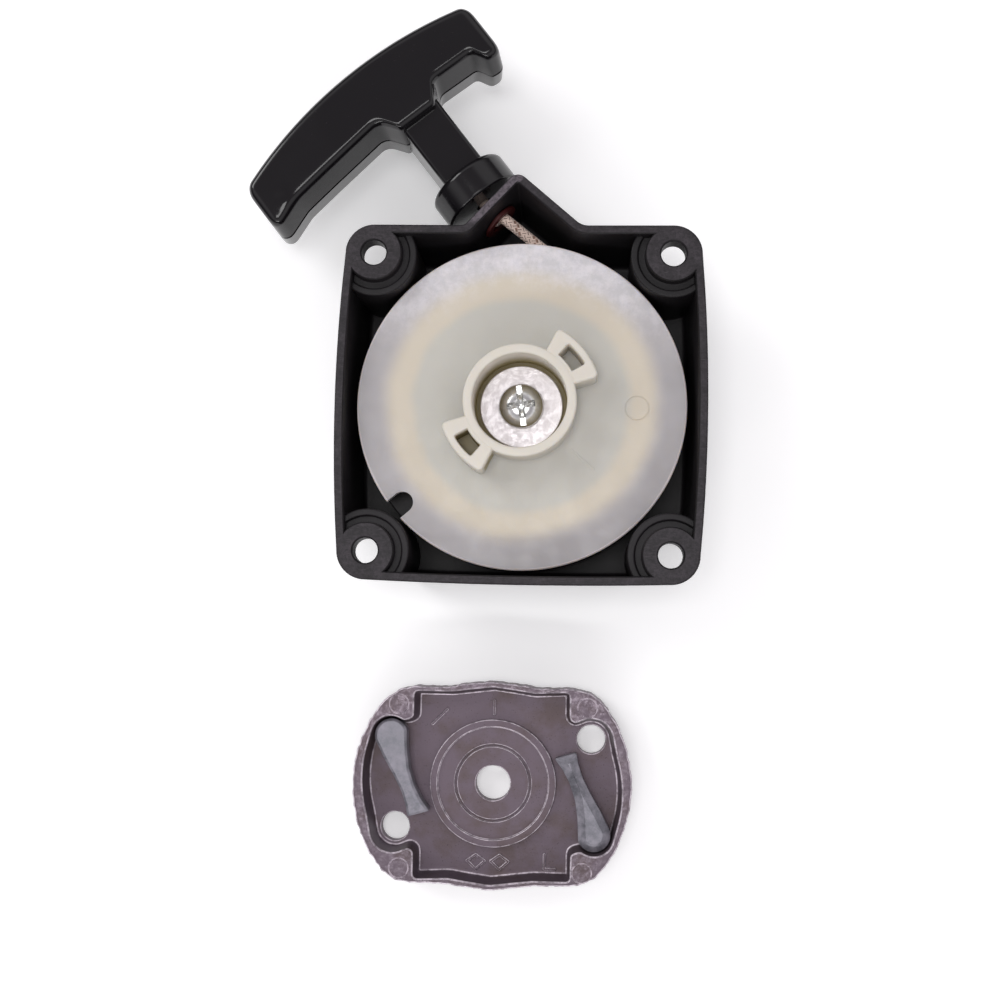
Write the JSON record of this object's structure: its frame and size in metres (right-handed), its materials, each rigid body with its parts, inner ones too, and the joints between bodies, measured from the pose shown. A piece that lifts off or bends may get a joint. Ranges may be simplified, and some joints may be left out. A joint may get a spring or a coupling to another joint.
{
  "type": "recoil starter",
  "caption": "Pull-rope recoil starter in an open moulded housing: spring-returned reel with a clawed hub, rope and T handle, and the engine's pawl plate beside it.",
  "frame": {"origin": "where the reel's axis meets the housing's flat outer face, which is the face it lies on", "axes": "+Z along the reel's axis, out of the open mounting side; +Y from the pawl plate towards the rope's spout; +X to the right of it"},
  "size_m": [0.103, 0.1975, 0.0292],
  "materials": {
    "black_nylon": "fine-grained moulded nylon, dull black",
    "gloss_black": "smooth moulded plastic, satin to glossy black",
    "cream_nylon": "translucent natural nylon, cream white, satin",
    "red_plastic": "dark red moulded plastic",
    "cast_alloy": "die-cast light alloy, satin grey with bright raised edges",
    "bright_steel": "zinc-plated steel, bright satin",
    "spring_steel": "blued spring strip",
    "brass": "turned brass",
    "braided_rope": "braided polyester starter rope, beige with brown flecks"
  },
  "bodies": {
    "housing_body": {"housing": "black_nylon", "rope_guide": "red_plastic", "threaded_insert": "brass", "retaining_washer": "bright_steel", "retaining_screw": "bright_steel", "spring_case": "black_nylon", "recoil_spring": "spring_steel", "spring_cover": "bright_steel", "rope_run": "braided_rope"},
    "reel_body": {"reel": "cream_nylon", "reel_flange": "black_nylon", "rope_wound": "braided_rope", "reel_rope_knot": "braided_rope"},
    "handle_body": {"pull_handle": "gloss_black", "knot_washer": "bright_steel", "handle_cap": "gloss_black", "handle_rope_knot": "braided_rope", "rope_lead": "braided_rope"},
    "plate_body": {"pawl_plate": "cast_alloy"},
    "pawl_left_body": {"pawl_left": "cast_alloy"},
    "pawl_right_body": {"pawl_right": "cast_alloy"}
  },
  "joints": [
    {"name": "handle_pull", "type": "slide", "parent": "housing_body", "child": "handle_body", "axis": [-0.6157, 0.788, 0], "range_m": [0, 0.69], "stiffness_N_per_m": 20, "springref_m": -0.25},
    {"name": "reel_spin", "type": "hinge", "parent": "housing_body", "child": "reel_body", "pos_m": [0, 0, 0], "axis": [0, 0, 1], "range_deg": [0, 1441], "deforming": ["recoil_spring"]},
    {"name": "plate_fit", "type": "hinge", "parent": "housing_body", "child": "plate_body", "pos_m": [-0.0028, -0.0422, 0.01715], "axis": [-0.9978, 0.0662, 0], "range_deg": [0, 180]},
    {"name": "pawl_left_swing", "type": "hinge", "parent": "plate_body", "child": "pawl_left_body", "pos_m": [-0.0287, -0.07385, 0.0058], "axis": [0, 0, -1], "range_deg": [0, 22]},
    {"name": "pawl_right_swing", "type": "hinge", "parent": "plate_body", "child": "pawl_right_body", "pos_m": [0.0175, -0.09495, 0.0058], "axis": [0, 0, -1], "range_deg": [0, 22]}
  ],
  "couplings": [
    {"joint": "reel_spin", "follows": "handle_pull", "rad_per_m": 36.424}
  ]
}
